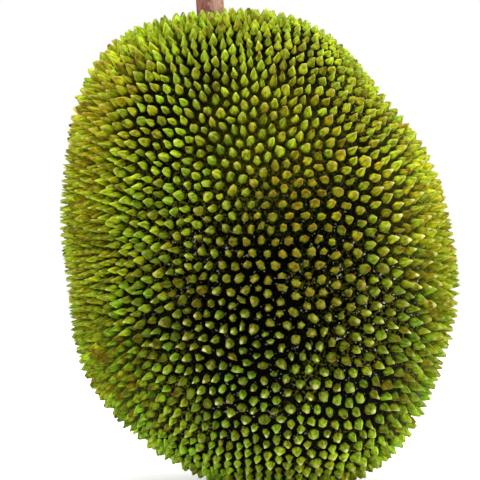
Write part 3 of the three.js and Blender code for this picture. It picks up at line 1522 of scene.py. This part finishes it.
@dataclass(frozen=True)
class StalkFinish:
    """The stalk's bark, and the wood of its cut end.

    Attributes:
        bark: Of most of the bark.
        old_bark_and_shade: Of its dark red streaks and grain, and of the painted shade on its left side.
        scurf_and_light: Of its pale patches, and of the painted light on its front.
        tan: Of its dry patches.
        lenticel: Of its small raised spots.
        wood: Of the cut end.
        stain: Of the cut end's older parts.
        pith: Of its middle.
        shaded_side: Painted shade: where the bark is dark red, on the stalk's left side.
        lit_side: Painted light: where the bark is mostly pale, on the stalk's front right of its middle.
        grain: Fine dark lines up the bark.
        streak: Its dark red streaks.
        dry: Its dry patches.
        scurf_and_light_patches: Its pale patches, which the painted light on its front draws out.
        fibres: Of the cut end's wood.
        grain_length: How much longer than wide the grain's lines are.
        streak_length: How much longer than wide the streaks are.
        shaded_share: How strongly the painted shade shows.
        grain_share: How strongly the grain does.
        spot_share: How strongly the lenticels do.
        roughness: Of the bark, and of its grain.
        cut_from: The shares of the way in between which the bark gives way to the cut end.
        stain_to: Those between which the stain under the bark comes up, going outwards.
        pith_from: Those between which the wood gives way to the pith.
    """

    bark: Colour = colour(0.400, 0.195, 0.145)
    old_bark_and_shade: Colour = colour(0.190, 0.048, 0.042)
    scurf_and_light: Colour = colour(0.520, 0.315, 0.228)
    tan: Colour = colour(0.520, 0.330, 0.180)
    lenticel: Colour = colour(0.620, 0.420, 0.320)
    wood: Colour = colour(0.640, 0.500, 0.280)
    stain: Colour = colour(0.330, 0.190, 0.080)
    pith: Colour = colour(0.180, 0.090, 0.040)
    shaded_side: tuple[Patch, ...] = (
        Patch((-0.0560, -0.0040, 0.300), 0.013, 1.0),
        Patch((-0.0570, -0.0040, 0.316), 0.013, 1.0),
        Patch((-0.0585, -0.0040, 0.332), 0.013, 1.0),
    )
    lit_side: tuple[Patch, ...] = (
        Patch((-0.0410, -0.0100, 0.303), 0.013, 1.0),
        Patch((-0.0420, -0.0100, 0.318), 0.013, 1.0),
        Patch((-0.0435, -0.0100, 0.334), 0.013, 1.0),
    )

    grain: Mottle = Mottle(900.0, 0.35, 0.65)
    streak: Mottle = Mottle(170.0, 0.50, 0.66, 0.85)
    dry: Mottle = Mottle(90.0, 0.50, 0.66, 0.70)
    scurf_and_light_patches: Mottle = Mottle(210.0, 0.52, 0.68, 0.80, 0.18)
    fibres: Mottle = Mottle(1500.0, 0.40, 0.60, 0.45)
    grain_length: float = 6.25
    streak_length: float = 4.0
    shaded_share: float = 0.85
    grain_share: float = 0.30
    spot_share: float = 0.70
    roughness: Span = (0.62, 0.85)
    cut_from: Span = (0.06, 0.10)
    stain_to: Span = (0.20, 0.11)
    pith_from: Span = (0.82, 0.88)

    def build(self, effects: SharedEffects) -> bpy.types.Material:
        """Builds the material.

        Args:
            effects: The shader groups that it may place.

        Returns:
            The material.
        """
        finish = Finish("stalk_wood", effects)
        graph = finish.graph
        cut = finish.attribute(Attribute.CUT)
        grain = finish.mottle(self.grain, place=self.drawn_out(finish, self.grain_length))
        spots = finish.flecks(scale=420.0, size=0.26, share=0.30)
        barked = self.barked(finish, grain, spots)
        on_cut = graph.stepped(cut, *self.cut_from)
        finish.feed(Base_Color=graph.mixed(on_cut, barked, self.sawn(finish, cut)))
        finish.feed(Roughness=graph.stepped(grain, 0.0, 1.0, self.roughness), Specular_IOR_Level=0.25)
        finish.bumped(graph.plus(grain, spots), distance=0.0003)
        return finish.material

    @staticmethod
    def drawn_out(finish: Finish, length: float) -> Socket:
        """Gives the position that draws patches out up the stalk, to that many times their width."""
        return finish.graph.vector_math("MULTIPLY", finish.position, (1.0, 1.0, 1.0 / length))

    def barked(self, finish: Finish, grain: Socket, spots: Socket) -> Socket:
        """Gives the bark's colour, one layer over the other, with painted light on its front and painted
        shade on its left side.

        Args:
            finish: The material that is being built.
            grain: The mask of the fine dark lines.
            spots: The mask of the lenticels.

        Returns:
            The colour.
        """
        graph = finish.graph
        streaks = finish.mottle(self.streak, place=self.drawn_out(finish, self.streak_length))
        body: Any = self.bark
        for mask, tint in (
            (streaks, self.old_bark_and_shade),
            (finish.mottle(self.dry), self.tan),
            # painted light: pale patches spread on the stalk's front
            (finish.mottle(self.scurf_and_light_patches, drawing=finish.zone(self.lit_side)), self.scurf_and_light),
            # painted shade: dark red on the stalk's left side
            (graph.times(finish.zone(self.shaded_side), self.shaded_share), self.old_bark_and_shade),
            (graph.times(grain, self.grain_share), self.old_bark_and_shade),
            (graph.times(spots, self.spot_share), self.lenticel),
        ):
            body = graph.mixed(mask, body, tint)
        return body

    def sawn(self, finish: Finish, cut: Socket) -> Socket:
        """Gives the colour of the cut end: stained under the bark, pale wood, and a dark pith.

        Args:
            finish: The material that is being built.
            cut: The share of the way in from the bark.

        Returns:
            The colour.
        """
        graph = finish.graph
        body = graph.mixed(finish.mottle(self.fibres), self.wood, self.stain)
        body = graph.mixed(graph.stepped(cut, *self.stain_to), body, self.stain)
        return graph.mixed(graph.stepped(cut, *self.pith_from), body, self.pith)


# ---------------------------------------------------------------------------------------------
# The studio
# ---------------------------------------------------------------------------------------------


@dataclass(frozen=True)
class Lamp:
    """A soft square lamp that faces the fruit.

    Attributes:
        name: What it is called.
        azimuth: Round the fruit, in degrees from the camera's side towards +X.
        elevation: Above the fruit's middle, in degrees.
        distance: From the fruit's middle.
        side: Of the square.
        brightness: Of the light that falls on the fruit, where 1 shows a colour as it is.
    """

    name: str
    azimuth: float
    elevation: float
    distance: float
    side: float
    brightness: float

    def build(self, target: Vector) -> None:
        """Builds the lamp, turned to the target.

        Args:
            target: The fruit's middle.
        """
        azimuth, elevation = math.radians(self.azimuth), math.radians(self.elevation)
        away = Vector(
            (
                math.sin(azimuth) * math.cos(elevation),
                -math.cos(azimuth) * math.cos(elevation),
                math.sin(elevation),
            )
        )
        light = bpy.data.lights.new(self.name, "AREA")
        light.shape = "SQUARE"
        light.size = self.side
        light.energy = self.brightness * (math.pi * self.distance) ** 2
        turned = away.to_track_quat("Z", "Y").to_matrix().to_4x4()
        lamp = linked(self.name, light)
        lamp.matrix_world = Matrix.Translation(target + away * self.distance) @ turned


@dataclass
class Studio:
    """The camera, the lamps, the white surround and the floor.

    Attributes:
        view_width: That the camera sees at the fruit's middle.
        distance: From the camera to the fruit's middle.
        aim: The point that the camera looks at, straight along +Y.
        surround: The strength of the white surround's light.
        lamps: The lamps.
        floor_width: The floor's.
        floor_glow: What the floor adds of its own where it is seen, under the fruit and around it.
        glow_from: The distances from the origin between which the one gives way to the other.
    """

    view_width: float = 0.308
    distance: float = 1.6
    aim: Vector = field(default_factory=lambda: Vector((-0.0264, 0.0, 0.1557)))
    surround: float = 0.42
    lamps: tuple[Lamp, ...] = (
        Lamp("top", 0, 72, 1.1, 0.9, 1.44),
        Lamp("left", -85, 12, 1.2, 0.9, 0.56),
        Lamp("right", 88, 8, 1.2, 0.9, 1.10),
        Lamp("behind", 180, 30, 1.3, 1.0, 0.20),
    )
    floor_width: float = 6.0
    floor_glow: Span = (0.45, 1.0)
    glow_from: Span = (0.05, 0.35)

    def build(self) -> None:
        """Builds all of it, and sets the scene's camera."""
        for lamp in self.lamps:
            lamp.build(self.aim)
        self.build_camera()
        self.build_world()
        self.build_floor()

    def build_camera(self) -> None:
        """Builds the level camera."""
        lens = bpy.data.cameras.new("camera")
        lens.lens = lens.sensor_width * self.distance / self.view_width
        camera = linked("camera", lens)
        camera.location = self.aim - Vector((0.0, self.distance, 0.0))
        camera.rotation_euler = (math.radians(90), 0.0, 0.0)
        bpy.context.scene.camera = camera

    @staticmethod
    def seen(graph: Graph) -> Socket:
        """Tells the rays that show a surface, straight or in gloss or glass, from those that light.

        Args:
            graph: The material's or the world's tree.

        Returns:
            1 for the rays that show it, and 0 for those that light it.
        """
        path = graph.add("ShaderNodeLightPath").outputs
        seen = graph.larger(path["Is Camera Ray"], path["Is Glossy Ray"])
        return graph.larger(seen, path["Is Transmission Ray"])

    def build_world(self) -> None:
        """Builds the surround: pure white where it is seen, and softer as a light."""
        world = bpy.data.worlds.new("surround")
        world.use_nodes = True
        world.node_tree.nodes.clear()
        graph = Graph(world.node_tree)
        strength = graph.plus(self.surround, graph.times(self.seen(graph), 1.0 - self.surround))
        white = graph.add("ShaderNodeBackground", {"Color": colour(1.0, 1.0, 1.0), "Strength": strength})
        output = graph.add("ShaderNodeOutputWorld")
        graph.feed(output.inputs["Surface"], white)
        bpy.context.scene.world = world

    def build_floor(self) -> None:
        """Builds the pale floor that keeps the fruit's shadow."""
        shell = bmesh.new()
        bmesh.ops.create_grid(shell, x_segments=1, y_segments=1, size=self.floor_width / 2)
        mesh = as_mesh("floor", shell)
        floor = linked("floor", mesh)
        material = bpy.data.materials.new("floor")
        material.use_nodes = True
        graph = Graph(material.node_tree)
        place = graph.add("ShaderNodeTexCoord").outputs["Object"]
        away = graph.vector_math("LENGTH", place, output=1)
        glow = graph.times(self.seen(graph), graph.stepped(away, *self.glow_from, self.floor_glow))
        surface = material.node_tree.nodes["Principled BSDF"]
        for label, value in {
            "Base Color": colour(0.9, 0.9, 0.9),
            "Roughness": 0.8,
            "Emission Color": colour(1.0, 1.0, 1.0),
            "Emission Strength": glow,
        }.items():
            graph.feed(surface.inputs[label], value)
        mesh.materials.append(material)


def main() -> None:
    """Builds the jackfruit and its studio."""
    logging.basicConfig(level=logging.INFO, format="%(name)s: %(message)s")
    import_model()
    bpy.context.scene.view_settings.view_transform = "Standard"
    effects = SharedEffects(build_mottle(), build_flecks())
    form = Form()
    rind = Rind(form).build(RindFinish().build(effects))
    LOG.info("rind: %d faces", len(rind.data.polygons))
    stalk = Stalk().build(StalkFinish().build(effects))
    LOG.info("stalk: %d faces", len(stalk.data.polygons))
    Studio().build()


if __name__ == "__main__":
    main()
